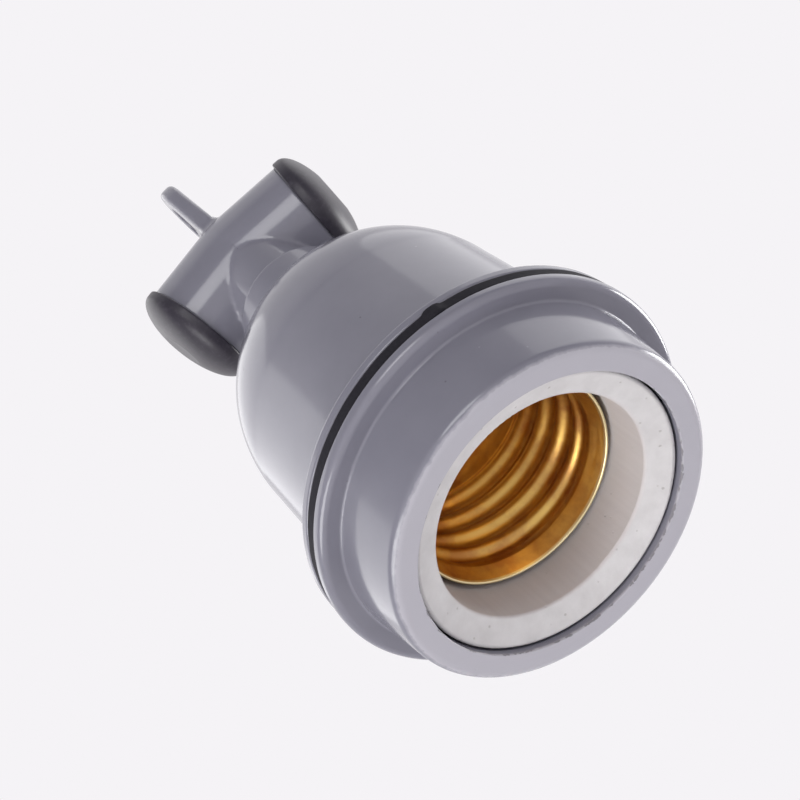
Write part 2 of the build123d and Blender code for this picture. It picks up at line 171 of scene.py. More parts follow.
# %% Lathe
def finish_mesh(name, vertices, faces, smooth=True):
    """Object from vertices in mm and faces, with outward normals, smooth shading and real size."""
    mesh = bpy.data.meshes.new(name)
    mesh.from_pydata([Vector(v) * MM for v in vertices], [], faces)
    work = bmesh.new()
    work.from_mesh(mesh)
    bmesh.ops.recalc_face_normals(work, faces=work.faces)
    work.to_mesh(mesh)
    work.free()
    for face in mesh.polygons:
        face.use_smooth = smooth
    piece = bpy.data.objects.new(name, mesh)
    bpy.context.scene.collection.objects.link(piece)
    return piece


def lathe(name, outline, around=256, change=None):
    """Closed outline of (radius, height) in mm, turned about Z.

    change(angle, radius, height) gives a point its new radius and height.
    """
    vertices, rings = [], []
    for r, z in outline:
        if r < 1e-6:
            rings.append([len(vertices)])
            vertices.append((0, 0, z))
            continue
        rings.append(list(range(len(vertices), len(vertices) + around)))
        for k in range(around):
            angle = 2 * math.pi * k / around
            nr, nz = change(angle, r, z) if change else (r, z)
            vertices.append((nr * math.cos(angle), nr * math.sin(angle), nz))
    faces = []
    for i, ring in enumerate(rings):
        other = rings[(i + 1) % len(rings)]
        if len(ring) == 1 and len(other) == 1:
            continue
        for k in range(around):
            n = (k + 1) % around
            a, b = ring[k % len(ring)], ring[n % len(ring)]
            c, d = other[n % len(other)], other[k % len(other)]
            faces.append(tuple(dict.fromkeys((a, b, c, d))))
    return finish_mesh(name, vertices, faces)


def dress(piece, body, slot, *replaced):
    """The piece rides on its body and stands for these nodes. Its slot is not used."""
    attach(piece, body)
    if replaced:
        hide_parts(*replaced)
    print(piece.name, "has", len(piece.data.polygons), "faces")
    return piece


# %% [markdown]
# ## Fine threads
# The ring screws into the bell on a fine right-hand thread. It only shows when the ring is unscrewed, but
# then it is the first thing one sees. A thread is a groove whose height climbs by one pitch each turn, so
# the groove's place in a ring of vertices follows from the angle. It fades in and out at its ends, as a
# cut thread does.

# %% Thread shape
def fade(x):
    """Smooth step from 0 to 1."""
    x = min(max(x, 0), 1)
    return x * x * (3 - 2 * x)


def thread_wave(angle, height, start, end, pitch):
    """1 on the thread's crest, 0 in its root, faded out at both ends."""
    phase = (height - start) / pitch - angle / (2 * math.pi)
    inside = fade((height - start) / pitch + 0.5) * fade((end - height) / pitch + 0.5)
    return (0.5 + 0.5 * math.cos(2 * math.pi * phase)) * inside


ring_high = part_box("front_ring")[1] / MM
gasket_low, gasket_high = (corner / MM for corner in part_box("gasket"))
fine_pitch = 1.5
fine_depth = 0.45
print("the ring is", round(ring_high.z, 2), "mm tall and", round(2 * ring_high.x, 2), "mm wide")

# %% [markdown]
# ## The front ring
# The ring is one turned casting: a flat lip, a nearly straight nose, a narrow shoulder and a threaded
# spigot that hides in the bell. Two roundings matter to the eye: the lip's large outer one, which draws
# the bright line round the mouth, and the tiny one at the foot of the nose, which draws the fine white
# line where nose and flange meet. Paint has run into a low bead inside the lip, so only a thin dark gap
# is left round the ceramic.

# %% Front ring
lip_radius = 22.2
lip_width = 3.35
lip_rounding = 1.2
nose_height = 10.05
nose_draft = 3.5
flange_rounding = 0.9
ring_bore = lip_radius - lip_width
nose_foot = lip_radius + nose_height * math.tan(math.radians(nose_draft))
flange_radius = ring_high.y
flange_back = gasket_low.z
spigot_wall = 0.95
spigot_radius = ring_bore + spigot_wall
spigot_end = ring_high.z
paint_bead = 0.12
bead_depth = 1.2
bead_fade = 0.2

ring_outline = soften([
    (ring_bore - paint_bead, 0, 0.14),
    (lip_radius, 0, lip_rounding),
    (nose_foot, nose_height, 0.35),
    (flange_radius, nose_height, flange_rounding),
    (flange_radius, flange_back, 0.2),
    (spigot_radius, flange_back, 0.1),
    (spigot_radius, spigot_end, 0.35),
    (ring_bore, spigot_end, 0.15),
    (ring_bore, bead_depth + bead_fade, 0),
    (ring_bore - paint_bead, bead_depth, 0),
])
undercut = 0.3
plain_neck = 1.6
plain_end = 0.6
thread_start = flange_back + plain_neck
thread_end = spigot_end - plain_end
hair = 0.01


def cut_thread(angle, r, z):
    """Grooves of the fine thread in the spigot's outside."""
    if abs(r - spigot_radius) > hair or z < flange_back + undercut:
        return r, z
    inside = fade((z - thread_start) / fine_pitch + 0.5) * fade((thread_end - z) / fine_pitch + 0.5)
    crest = thread_wave(angle, z, thread_start, thread_end, fine_pitch)
    return r - fine_depth * (inside - crest), z


clamp_ring = lathe("clamp_ring", divided(ring_outline, 0.3), change=cut_thread)
dress(clamp_ring, "ring_body", "grey_paint", "front_ring")

# %% [markdown]
# ## The gasket
# The gasket is a flat punched ring of black rubber. Squeezed between two painted faces it swells a little
# and never sits quite centred, so its edge stands proud more on one side. A small tab on the edge is there
# to pull it off by.

# %% Gasket
gasket_bore = spigot_radius + 0.3
gasket_radius = gasket_high.x
gasket_rounding = 0.35
tab_angle = math.radians(-74)
tab_width = 2.2
tab_proud = 0.5
tab_top = 1.6
tab_slope = 1.1
swell = 0.12
swell_angle = math.radians(-20)


def squeezed_edge(angle, r, z):
    """The outer edge swells to one side and carries the small tab."""
    if r < (gasket_bore + gasket_radius) / 2:
        return r, z
    away = (angle - tab_angle + math.pi) % (2 * math.pi) - math.pi
    half_tabs = abs(away) * gasket_radius / (tab_width / 2)
    tab = tab_proud * fade(tab_top - tab_slope * half_tabs)
    swollen = swell * (0.5 + 0.5 * math.cos(angle - swell_angle)) - swell
    ripple = 0.02 * math.sin(9 * angle) + 0.015 * math.sin(23 * angle + 1)
    return r + tab + swollen + ripple, z


gasket_outline = soften([
    (gasket_bore, gasket_low.z, 0.2),
    (gasket_radius, gasket_low.z, gasket_rounding),
    (gasket_radius, gasket_high.z, gasket_rounding),
    (gasket_bore, gasket_high.z, 0.2),
])
rim_gasket = lathe("rim_gasket", gasket_outline, around=360, change=squeezed_edge)
dress(rim_gasket, "gasket_body", "black_rubber", "gasket")

# %% [markdown]
# ## The bell casting
# Bell, collar, neck, cross tube and eye are one casting, so they are one mesh here too. Each part is made
# on its own as a closed solid, and booleans join them and then cut the hollow. That gives the true line
# where the neck meets the tube, which no stack of separate pieces would give.

# %% Bell of revolution
housing_low, housing_high = (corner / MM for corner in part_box("housing"))
rim_radius = housing_high.y
rim_z = housing_low.z
skirt_front = 21.6
skirt_back = 20.05
rim_thickness = 1.35
rim_top = rim_z + rim_thickness
skirt_height = 20.9
dome_z = rim_z + skirt_height
dome_height = 19.38
wall = 1.75
collar_radius = 8.2
collar_rise = 4.62
collar_z = dome_z + dome_height + collar_rise
neck_radius = 6.6
neck_bore = 4.0
neck_rise = 11.65
tube_z = collar_z + neck_rise
thread_play = 0.07
bell_bore = spigot_radius + thread_play
bell_inner = skirt_back - wall
shoulder_gap = 0.3
ceramic_shoulder = 4.1
seat_z = spigot_end + shoulder_gap + ceramic_shoulder


def dome_points(radius, height, to_radius, steps):
    """Corners along a spherical dome, from its foot up to a smaller radius."""
    ball = (radius**2 + height**2) / (2 * height)
    ball_z = dome_z + height - ball
    first = math.asin((dome_z - ball_z) / ball)
    last = math.acos(to_radius / ball)
    angles = [first + (last - first) * k / steps for k in range(steps + 1)]
    return [(ball * math.cos(angle), ball_z + ball * math.sin(angle), 0) for angle in angles]


outer_dome = dome_points(skirt_back, dome_height, collar_radius, 34)
collar_root = outer_dome[-1]
bell_outline = divided(soften(
    [(0, rim_z, 0), (rim_radius, rim_z, 0.35), (rim_radius, rim_top, 0.35), (skirt_front, rim_top, 1.3)]
    + outer_dome[:-2]
    + [
        (collar_root[0], collar_root[1], 1.6),
        (collar_radius, collar_z, 0.5),
        (neck_radius, collar_z, 0.8),
        (neck_radius, tube_z, 0),
        (0, tube_z, 0),
    ]
), 0.45)
bell_solid = lathe("bell_casting", bell_outline)

inner_dome = dome_points(bell_inner, dome_height - wall, neck_bore, 18)
hollow_outline = (
    [(0, rim_z - 1, 0), (bell_bore, rim_z - 1, 0), (bell_bore, seat_z, 0), (bell_inner, seat_z, 0)]
    + inner_dome
    + [(neck_bore, tube_z, 0), (0, tube_z, 0)]
)
hollow_solid = lathe("bell_hollow", [(r, z) for r, z, _ in hollow_outline], around=96)
print("dome and collar meet at", round(collar_root[1], 1), "mm")

# %% [markdown]
# The cross tube droops on both sides, so rain runs off it and not into it. It is two short tubes mitred in
# the middle. Its rings of vertices lie square to each arm and close up to one shared ring on the mitre.

# %% Cross tube
arm_radius = 7.53
arm_bore = 5.6
arm_length = 10.9
arm_droop = math.radians(7.8)


def arm_axes(side):
    """Direction of one arm, and the two directions across it."""
    along = Vector((side * math.cos(arm_droop), 0, -math.sin(arm_droop)))
    across = Vector((0, 1, 0))
    return along, across, along.cross(across)


def cross_tube(name, radius, length, around, spacing):
    """Solid of both arms in mm, mitred in the plane between them."""
    middle = Vector((0, 0, tube_z))
    vertices, rings = [], []
    steps = math.ceil(length / spacing)
    places = [(-1, length * (steps - k) / steps) for k in range(steps)] + [(0, 0)]
    places += [(1, length * (k + 1) / steps) for k in range(steps)]
    for side, distance in places:
        along, across, rise = arm_axes(side or 1)
        if side < 0:
            rise = -rise
        rings.append(len(vertices))
        for k in range(around):
            angle = 2 * math.pi * k / around
            edge = across * math.cos(angle) * radius + rise * math.sin(angle) * radius
            mitre = edge.z * math.tan(arm_droop)
            point = middle + edge
            if side:
                near = max(0.0, 1 - distance / length)
                point += along * (distance + mitre * near)
            else:
                point = middle + across * math.cos(angle) * radius
                point.z += math.sin(angle) * radius / math.cos(arm_droop)
            vertices.append(point)
    faces = [tuple(range(around)), tuple(rings[-1] + k for k in range(around))]
    for first, second in zip(rings, rings[1:]):
        for k in range(around):
            n = (k + 1) % around
            faces.append((first + k, first + n, second + n, second + k))
    return finish_mesh(name, vertices, faces)


tube_solid = cross_tube("cross_tube", arm_radius, arm_length, 224, 0.35)
tube_hollow = cross_tube("tube_hollow", arm_bore, arm_length + 1, 72, 2.0)
print("each arm droops by", round(math.degrees(arm_droop), 1), "degrees")

# %% [markdown]
# The hanging eye is a flat tongue with a round top and a round hole. Its edges are rounded all round, as
# the two halves of a mould leave them. It is made as a ring of cross sections: each one starts at the
# outer edge, crosses the front face to the hole and comes back over the rear face.

# %% Hanging eye
eye_radius = 6.0
eye_hole = 3.3
eye_thickness = 2.4
eye_z = housing_high.z - eye_radius
eye_edge = 0.8
hole_edge = 0.4


def eye_section():
    """Points of one section: share of the way from outline to hole, inset and sideways place, in mm."""
    half = eye_thickness / 2
    quarter = [math.pi / 2 * k / 5 for k in range(6)]
    outer = [(0, eye_edge * (1 - math.cos(a)), half - eye_edge * (1 - math.sin(a))) for a in quarter]
    inner = [(1, hole_edge * (1 - math.sin(a)), half - hole_edge * (1 - math.cos(a))) for a in quarter]
    front = outer + inner
    return front + [(share, inset, -side) for share, inset, side in reversed(front)]


def hanging_eye(name, around=160):
    """Solid of the eye in mm, from its round top down into the cross tube."""
    vertices, faces = [], []
    section = eye_section()
    for k in range(around):
        angle = 2 * math.pi * k / around
        direction = Vector((0, math.cos(angle), math.sin(angle)))
        reach = eye_radius
        if direction.z < 0:
            reach = min(
                eye_radius / max(abs(direction.y), 1e-6),
                (eye_z - tube_z) / max(-direction.z, 1e-6),
            )
        for share, inset, side in section:
            distance = reach - inset if share == 0 else eye_hole + inset
            vertices.append(Vector((side, 0, eye_z)) + direction * distance)
    size = len(section)
    for k in range(around):
        n = (k + 1) % around
        for s in range(size):
            t = (s + 1) % size
            faces.append((k * size + s, n * size + s, n * size + t, k * size + t))
    return finish_mesh(name, vertices, faces)


eye_solid = hanging_eye("eye_solid")
print("the eye takes a hook of up to", 2 * eye_hole, "mm")

# %% [markdown]
# The hollow runs from the bell through the neck into both arms. Inside the dome a small boss is left
# standing for the earth screw, so the boss is taken out of the hollow before the hollow is cut.

# %% Join the solids and cut the hollow
boss_x = -9.4
boss_radius = 3.2
boss_drop = 5.8
boss_low = dome_z + dome_height - wall - boss_drop


def boolean(piece, other, operation):
    """Join, cut or intersect a piece with another solid, which is then used up."""
    modifier = piece.modifiers.new(operation.lower(), "BOOLEAN")
    modifier.operation = operation
    modifier.object = other
    modifier.solver = "MANIFOLD"
    graph = bpy.context.evaluated_depsgraph_get()
    made = bpy.data.meshes.new_from_object(piece.evaluated_get(graph))
    piece.modifiers.clear()
    piece.data = made
    bpy.data.objects.remove(other)


boss_outline = [(0, boss_low), (boss_radius, boss_low), (boss_radius, collar_z), (0, collar_z)]
boss_solid = lathe("earth_boss", boss_outline, 48)
boss_solid.data.transform(Matrix.Translation((boss_x * MM, 0, 0)))
boolean(hollow_solid, boss_solid, "DIFFERENCE")
bell_casting = bell_solid
boolean(bell_casting, tube_solid, "UNION")
boolean(bell_casting, eye_solid, "UNION")
boolean(bell_casting, hollow_solid, "DIFFERENCE")
boolean(bell_casting, tube_hollow, "DIFFERENCE")
for face in bell_casting.data.polygons:
    face.use_smooth = True
print("the casting has", len(bell_casting.data.vertices), "vertices")

# %% [markdown]
# A casting has no knife-sharp inside corners: sand and paint fill them. The joints of neck, tube and eye
# are softened by relaxing only the vertices that lie close to them. Each one moves a little towards the
# middle of its neighbours, most on the joint itself, and the rest of the casting keeps its form.

# %% Soften the joints
joint_reach = 0.9
joint_angle = math.radians(24)
relax_rounds = 14


def soften_joints(piece, low):
    """Relax the vertices near concave creases above this height, in mm."""
    work = bmesh.new()
    work.from_mesh(piece.data)
    bmesh.ops.remove_doubles(work, verts=work.verts, dist=0.002 * MM)
    creases = [
        e for e in work.edges
        if len(e.link_faces) == 2
        and e.verts[0].co.z > low * MM
        and e.verts[1].co.z > low * MM
        and e.calc_face_angle_signed(0) < -joint_angle
        and max(abs(v.co.x) for v in e.verts) < (arm_length - 1) * MM
    ]
    tree = kdtree.KDTree(len(creases) * 2)
    for i, edge in enumerate(creases):
        tree.insert(edge.verts[0].co, 2 * i)
        tree.insert(edge.verts[1].co, 2 * i + 1)
    tree.balance()
    near = {}
    for v in work.verts:
        if v.co.z < (low - 1) * MM:
            continue
        distance = tree.find(v.co)[2]
        if distance is not None and distance < joint_reach * MM:
            near[v] = fade(1 - distance / (joint_reach * MM))
    for _ in range(relax_rounds):
        moves = {}
        for v, weight in near.items():
            others = [e.other_vert(v).co for e in v.link_edges]
            middle = sum(others, Vector()) / len(others)
            moves[v] = v.co.lerp(middle, 0.5 * weight)
        for v, place in moves.items():
            v.co = place
    work.to_mesh(piece.data)
    work.free()
    return len(near)


print("relaxed", soften_joints(bell_casting, collar_z + 1), "vertices")
dress(bell_casting, "housing_body", "grey_paint", "housing")

# %% [markdown]
# ## The rubber plugs
# Two moulded plugs blank off the cable entries. Each has a stem in the bore, a thin lip over the tube's
# end and a low domed face with a small flat in its middle.

# %% Rubber plugs
plug_lip = 8.05
plug_lip_height = 0.9
plug_dome = 3.05
plug_flat = 2.9
plug_stem = 5.0
stem_radius = arm_bore - 0.05


def plug_outline():
    """Outline of a plug in mm, with its lip's underside at height 0."""
    last = math.acos(plug_flat / plug_lip)
    dome = [
        (plug_lip * math.cos(last * k / 24), plug_lip_height + plug_dome * math.sin(last * k / 24), 0)
        for k in range(1, 24)
    ]
    top = plug_lip_height + plug_dome * math.sin(last)
    return soften(
        [
            (0, -plug_stem, 0),
            (stem_radius, -plug_stem, 0.4),
            (stem_radius, 0, 0.1),
            (plug_lip, 0, 0.25),
            (plug_lip, plug_lip_height, 0),
        ]
        + dome[:-1]
        + [(plug_flat, top, 0.3), (0, top, 0)]
    )


def rubber_plug(name, side, replaced):
    """A plug on the end of one arm."""
    plug = lathe(name, divided(plug_outline(), 0.5), around=192)
    along, across, rise = arm_axes(side)
    turn = Matrix((across, rise, along)).transposed().to_4x4()
    place = Vector((0, 0, tube_z)) + along * arm_length
    plug.data.transform(Matrix.Translation(place * MM) @ turn)
    plug.data.update()
    return dress(plug, "housing_body", "black_rubber", replaced)


left_plug = rubber_plug("left_plug", -1, "left_cap")
right_plug = rubber_plug("right_plug", 1, "right_cap")

# %% [markdown]
# ## The rolled shell
# The lamp screws into a shell of thin brass sheet. Its thread is rolled in, so the same wave shows on
# both sides of the sheet. The rollers leave the inward crests narrower than the hollows between them,
# which draws them as thin gold lines. The lip flares out a little and catches the light as a pale line.

# %% Rolled shell
shell_low, shell_high = (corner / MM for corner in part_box("screw_shell"))
sheet = 0.4
shell_lip = shell_high.x
lip_flare = 2.4
minor_radius = 12.38
major_radius = 13.3
root_radius = (minor_radius + major_radius) / 2
lamp_pitch = 25.4 / 7
lamp_turns = 4
plain_mouth = 4.6
wave_start = shell_low.z + plain_mouth
wave_end = wave_start + lamp_turns * lamp_pitch
floor_z = shell_high.z
floor_hole = 8.75
crest_sharpness = 1.3


def rolled_wave(angle, r, z):
    """The lamp thread, rolled into both faces of the sheet."""
    if z < shell_low.z + lip_flare or z > floor_z - sheet - hair or r < minor_radius - 0.3:
        return r, z
    inside = fade((z - wave_start) / lamp_pitch * 2 + 1) * fade((wave_end - z) / lamp_pitch * 2)
    phase = (z - wave_start) / lamp_pitch - angle / (2 * math.pi)
    half_depth = (major_radius - minor_radius) / 2
    crest = (0.5 + 0.5 * math.cos(2 * math.pi * phase)) ** crest_sharpness
    return r + half_depth * (1 - 2 * crest) * inside, z


lip_bead = 0.18
shell_outline = divided(soften([
    (shell_lip - sheet, shell_low.z, lip_bead),
    (shell_lip, shell_low.z, lip_bead),
    (root_radius + sheet, shell_low.z + lip_flare, 0.6),
    (root_radius + sheet, floor_z, 0.5),
    (floor_hole, floor_z, 0.1),
    (floor_hole, floor_z - sheet, 0.1),
    (root_radius, floor_z - sheet, 0.3),
    (root_radius, shell_low.z + lip_flare, 0.6),
]), 0.22)
rolled_shell = lathe("rolled_shell", shell_outline, around=288, change=rolled_wave)
dress(rolled_shell, "housing_body", "shell_brass", "screw_shell")

# %% [markdown]
# ## The sprung tongue
# The centre contact is a bronze strip. Its foot is riveted down and its free end carries the tip, so when
# a lamp pushes the tip in, the strip bends from its foot. Here it is made as one closed strip with soft
# bends, and it stands for the imported tongue.

# %% Sprung tongue
foot_low, foot_high = (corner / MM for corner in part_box("contact_tongue"))
strip = 0.4
strip_width = foot_high.x - foot_low.x
strip_lift = foot_high.z - foot_low.z - strip
foot_length = 3.8
slope_length = 1.9
foot_inner = foot_high.y - foot_length
slope_end = foot_inner - slope_length
end_rounding = 1.2


def strip_height(y):
    """Height of the strip's mouth side at a place along it, with soft bends."""
    return foot_high.z - strip - strip_lift * fade((foot_inner - y) / (foot_inner - slope_end))


def half_width(y):
    """Half the strip's width, less at its rounded ends."""
    near = min(foot_high.y - y, y - foot_low.y)
    short = max(0.0, end_rounding - near)
    return strip_width / 2 - end_rounding + math.sqrt(max(end_rounding**2 - short**2, 0.0))


def sprung_tongue(name, along=72, across=20):
    """Closed strip in mm, with its ends rounded and its two bends soft."""
    vertices, faces = [], []
    for i in range(along + 1):
        y = foot_low.y + (foot_high.y - foot_low.y) * i / along
        wide = max(half_width(y), 0.05)
        for lift in (0, strip):
            for k in range(across + 1):
                vertices.append((wide * (2 * k / across - 1), y, strip_height(y) + lift))
    row = across + 1
    for i in range(along):
        near, far = 2 * row * i, 2 * row * (i + 1)
        for k in range(across):
            faces.append((near + k, near + k + 1, far + k + 1, far + k))
            faces.append((near + row + k, far + row + k, far + row + k + 1, near + row + k + 1))
        faces.append((near, far, far + row, near + row))
        faces.append((near + across, near + row + across, far + row + across, far + across))
    for start in (0, 2 * row * along):
        faces += [(start + k, start + k + 1, start + row + k + 1, start + row + k) for k in range(across)]
    return finish_mesh(name, vertices, faces, smooth=False)


tongue = sprung_tongue("sprung_tongue")
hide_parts("contact_tongue")
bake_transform(tongue)
print("the tongue rises", round(strip_lift, 2), "mm")

# %% [markdown]
# ## How a finish is built
# A finish is a small chain of nodes: a place on the piece, a pattern read at that place, and a shader that
# takes the pattern as colour, roughness or relief. The place is the object coordinate. It is in metres,
# and it sticks to the piece when the piece moves. A pattern's scale is how many waves fit in a metre, so
# it follows from the real size of one wave in millimetres.

# %% Node helper
def put(tree, kind, inputs=None, **settings):
    """Add a node, apply its settings, and fill or link its inputs."""
    node = tree.nodes.new(kind)
    for key, value in settings.items():
        setattr(node, key, value)
    for key, value in (inputs or {}).items():
        if isinstance(value, bpy.types.NodeSocket):
            tree.links.new(value, node.inputs[key])
        else:
            node.inputs[key].default_value = value
    return node


def start_finish(name):
    """A new finish: its material, its empty node tree and the place on the piece."""
    material = bpy.data.materials.new(name)
    material.use_nodes = True
    material.node_tree.nodes.clear()
    place = put(material.node_tree, "ShaderNodeTexCoord").outputs["Object"]
    return material, material.node_tree, place


def close_finish(tree, shader):
    """The shader becomes the surface."""
    put(tree, "ShaderNodeOutputMaterial", {"Surface": shader.outputs["BSDF"]})


def waves(size):
    """Pattern scale at which one wave is this many millimetres long."""
    return 1000 / size


def wear(finish, *pieces):
    """Give pieces and CAD nodes this finish."""
    for piece in pieces:
        if not piece.material_slots:
            piece.data.materials.append(finish)
        for material_slot in piece.material_slots:
            material_slot.material = finish
    print(finish.name, "on", ", ".join(piece.name for piece in pieces))


print("a wave of 2 mm has the scale", waves(2))

# %% [markdown]
# Two patterns are needed by more than one finish. The distance from the lamp's axis finds the rims and
# bores of a turned piece. Scattered spots are specks of paint or open pits: a cell pattern gives each
# spot a place and a random level, and the level decides which spots are kept.

# %% Shared patterns
def axis_distance(tree, place):
    """Distance of the place from the lamp's axis."""
    flat = put(tree, "ShaderNodeVectorMath", {0: place, 1: (1, 1, 0)}, operation="MULTIPLY")
    return put(tree, "ShaderNodeVectorMath", {0: flat.outputs[0]}, operation="LENGTH").outputs["Value"]


def scattered(tree, place, spacing, edge, core, share):
    """Mask of small spots, one in each kept cell of this spacing in mm, and a random level for each."""
    cells = put(tree, "ShaderNodeTexVoronoi", {"Vector": place, "Scale": waves(spacing)})
    level = put(tree, "ShaderNodeSeparateColor", {"Color": cells.outputs["Color"]})
    spot = put(tree, "ShaderNodeMapRange", {
        "Value": cells.outputs["Distance"], "From Min": edge, "From Max": core,
    })
    kept = put(tree, "ShaderNodeMath", {
        0: level.outputs["Red"], 1: 1 - share,
    }, operation="GREATER_THAN")
    mask = put(tree, "ShaderNodeMath", {
        0: spot.outputs["Result"], 1: kept.outputs[0],
    }, operation="MULTIPLY")
    return mask.outputs[0], level.outputs["Green"]


# %% [markdown]
# ## Grey stove enamel
# The casting and the ring wear a grey, slightly blue stove enamel, sprayed thick and baked. Baked paint is
# glossy but never quite flat: it dries with a faint orange peel, waves of one to two millimetres. Handling
# leaves small dark and pale specks and a slow change of tone. The flat lip faces the light, so its colour
# is painted paler there as painted light, with a satin gloss, and at its inner edge the paint has chipped.

# %% Grey stove enamel
enamel, tree, place = start_finish("grey_stove_enamel")
peel = put(tree, "ShaderNodeTexNoise", {
    "Vector": place, "Scale": waves(1.5), "Detail": 1.0, "Roughness": 0.4,
})
cloud = put(tree, "ShaderNodeTexNoise", {
    "Vector": place, "Scale": waves(11), "Detail": 4.0, "Roughness": 0.55,
})
tone = put(tree, "ShaderNodeMix", {
    "Factor": cloud.outputs["Fac"], "A": linear("787782"), "B": linear("898892"),
}, data_type="RGBA")
speck_mask, speck_level = scattered(tree, place, spacing=1.9, edge=0.09, core=0.05, share=0.2)
speck_tone = put(tree, "ShaderNodeMix", {
    "Factor": speck_level, "A": linear("4E4D57"), "B": linear("A9A8B0"),
}, data_type="RGBA")
speck_part = put(tree, "ShaderNodeMath", {0: speck_mask, 1: 0.6}, operation="MULTIPLY")
spotted = put(tree, "ShaderNodeMix", {
    "Factor": speck_part.outputs[0], "A": tone.outputs["Result"], "B": speck_tone.outputs["Result"],
}, data_type="RGBA")
print("the orange peel has", round(waves(1.5)), "waves in a metre")

# %% [markdown]
# The paler lip and its chips need two masks. The first is painted light on the flat lip, which faces the
# light: it fades from the lip's plane upwards over a few tenths of a millimetre, with a little noise so
# that its edge isn't drawn with a ruler. The second is the distance from the axis, which finds the chipped
# inner edge.

# %% Painted light on the lip, and its chips
lit_lip_fade_top = 0.7
lit_lip_full_top = 0.35
chip_reach = 1.3
chip_start = ring_bore - 0.79
axes = put(tree, "ShaderNodeSeparateXYZ", {"Vector": place})
lit_lip_noise = put(tree, "ShaderNodeTexNoise", {"Vector": place, "Scale": waves(1.1), "Detail": 3.0})
lit_lip_shift = put(tree, "ShaderNodeMath", {0: lit_lip_noise.outputs["Fac"], 1: 0.4 * MM}, operation="MULTIPLY")
lit_lip_height = put(tree, "ShaderNodeMath", {
    0: axes.outputs["Z"], 1: lit_lip_shift.outputs[0],
}, operation="ADD")
# Painted light: this mask marks the flat lip that faces the light, where the colour is painted paler.
lit_lip_mask = put(tree, "ShaderNodeMapRange", {
    "Value": lit_lip_height.outputs[0], "From Min": lit_lip_fade_top * MM, "From Max": lit_lip_full_top * MM,
})
chip = put(tree, "ShaderNodeTexNoise", {
    "Vector": place, "Scale": waves(1.6), "Detail": 4.0, "Roughness": 0.6,
})
chip_width = put(tree, "ShaderNodeMath", {
    0: chip.outputs["Fac"], 1: chip_reach * MM, 2: chip_start * MM,
}, operation="MULTIPLY_ADD")
chip_inside = put(tree, "ShaderNodeMath", {
    0: axis_distance(tree, place), 1: chip_width.outputs[0],
}, operation="LESS_THAN")
chip_mask = put(tree, "ShaderNodeMath", {
    0: chip_inside.outputs[0], 1: lit_lip_mask.outputs["Result"],
}, operation="MULTIPLY")
# Painted light: the lit lip is painted a paler grey, B0AEB5.
painted_light = put(tree, "ShaderNodeMix", {
    "Factor": lit_lip_mask.outputs["Result"], "A": spotted.outputs["Result"], "B": linear("B0AEB5"),
}, data_type="RGBA")
chipped = put(tree, "ShaderNodeMix", {
    "Factor": chip_mask.outputs[0], "A": painted_light.outputs["Result"], "B": linear("828085"),
}, data_type="RGBA")
gloss = put(tree, "ShaderNodeMapRange", {
    "Value": lit_lip_mask.outputs["Result"], "To Min": 0.14, "To Max": 0.3,
})
peel_relief = put(tree, "ShaderNodeBump", {
    "Height": peel.outputs["Fac"], "Strength": 0.2, "Distance": 0.03 * MM,
})
speck_relief = put(tree, "ShaderNodeBump", {
    "Height": speck_mask, "Strength": 0.5, "Distance": 0.03 * MM, "Normal": peel_relief.outputs["Normal"],
})
enamel_shader = put(tree, "ShaderNodeBsdfPrincipled", {
    "Base Color": chipped.outputs["Result"],
    "Roughness": gloss.outputs["Result"],
    "Normal": speck_relief.outputs["Normal"],
    "IOR": 1.5,
})
close_finish(tree, enamel_shader)
wear(enamel, bell_casting, clamp_ring)

# %% [markdown]
# ## Unglazed ceramic
# The body is pressed and fired steatite, left unglazed. That gives a dead-white stone look with fine open
# pits and no clear reflection. In the deep bore the core pin has dragged along the wall, which leaves fine
# streaks that run with the axis, and the wall of the bore is painted a darker warm grey. Along the outer
# edge of the face, next to the ring's lip, shade is painted in as a darker grey.

# %% Unglazed ceramic
ceramic_gap = 0.3
edge_radius = ring_bore - ceramic_gap
face_inner = 15.2
bore_outer = 14.75
edge_shade_reach = 1.6
steatite, tree, place = start_finish("unglazed_steatite")
grain = put(tree, "ShaderNodeTexNoise", {
    "Vector": place, "Scale": waves(0.9), "Detail": 5.0, "Roughness": 0.65,
})
stain = put(tree, "ShaderNodeTexNoise", {
    "Vector": place, "Scale": waves(3.2), "Detail": 4.0, "Roughness": 0.6,
})
fired = put(tree, "ShaderNodeMix", {
    "Factor": stain.outputs["Fac"], "A": linear("BDBAB9"), "B": linear("DEDCDB"),
}, data_type="RGBA")
pit_mask, _ = scattered(tree, place, spacing=1.1, edge=0.2, core=0.1, share=0.28)
pit_part = put(tree, "ShaderNodeMath", {0: pit_mask, 1: 0.55}, operation="MULTIPLY")
pitted = put(tree, "ShaderNodeMix", {
    "Factor": pit_part.outputs[0], "A": fired.outputs["Result"], "B": linear("A39D99"),
}, data_type="RGBA")
drag_place = put(tree, "ShaderNodeVectorMath", {0: place, 1: (1, 1, 0.03)}, operation="MULTIPLY")
drag = put(tree, "ShaderNodeTexNoise", {
    "Vector": drag_place.outputs[0], "Scale": waves(0.8), "Detail": 3.0,
})
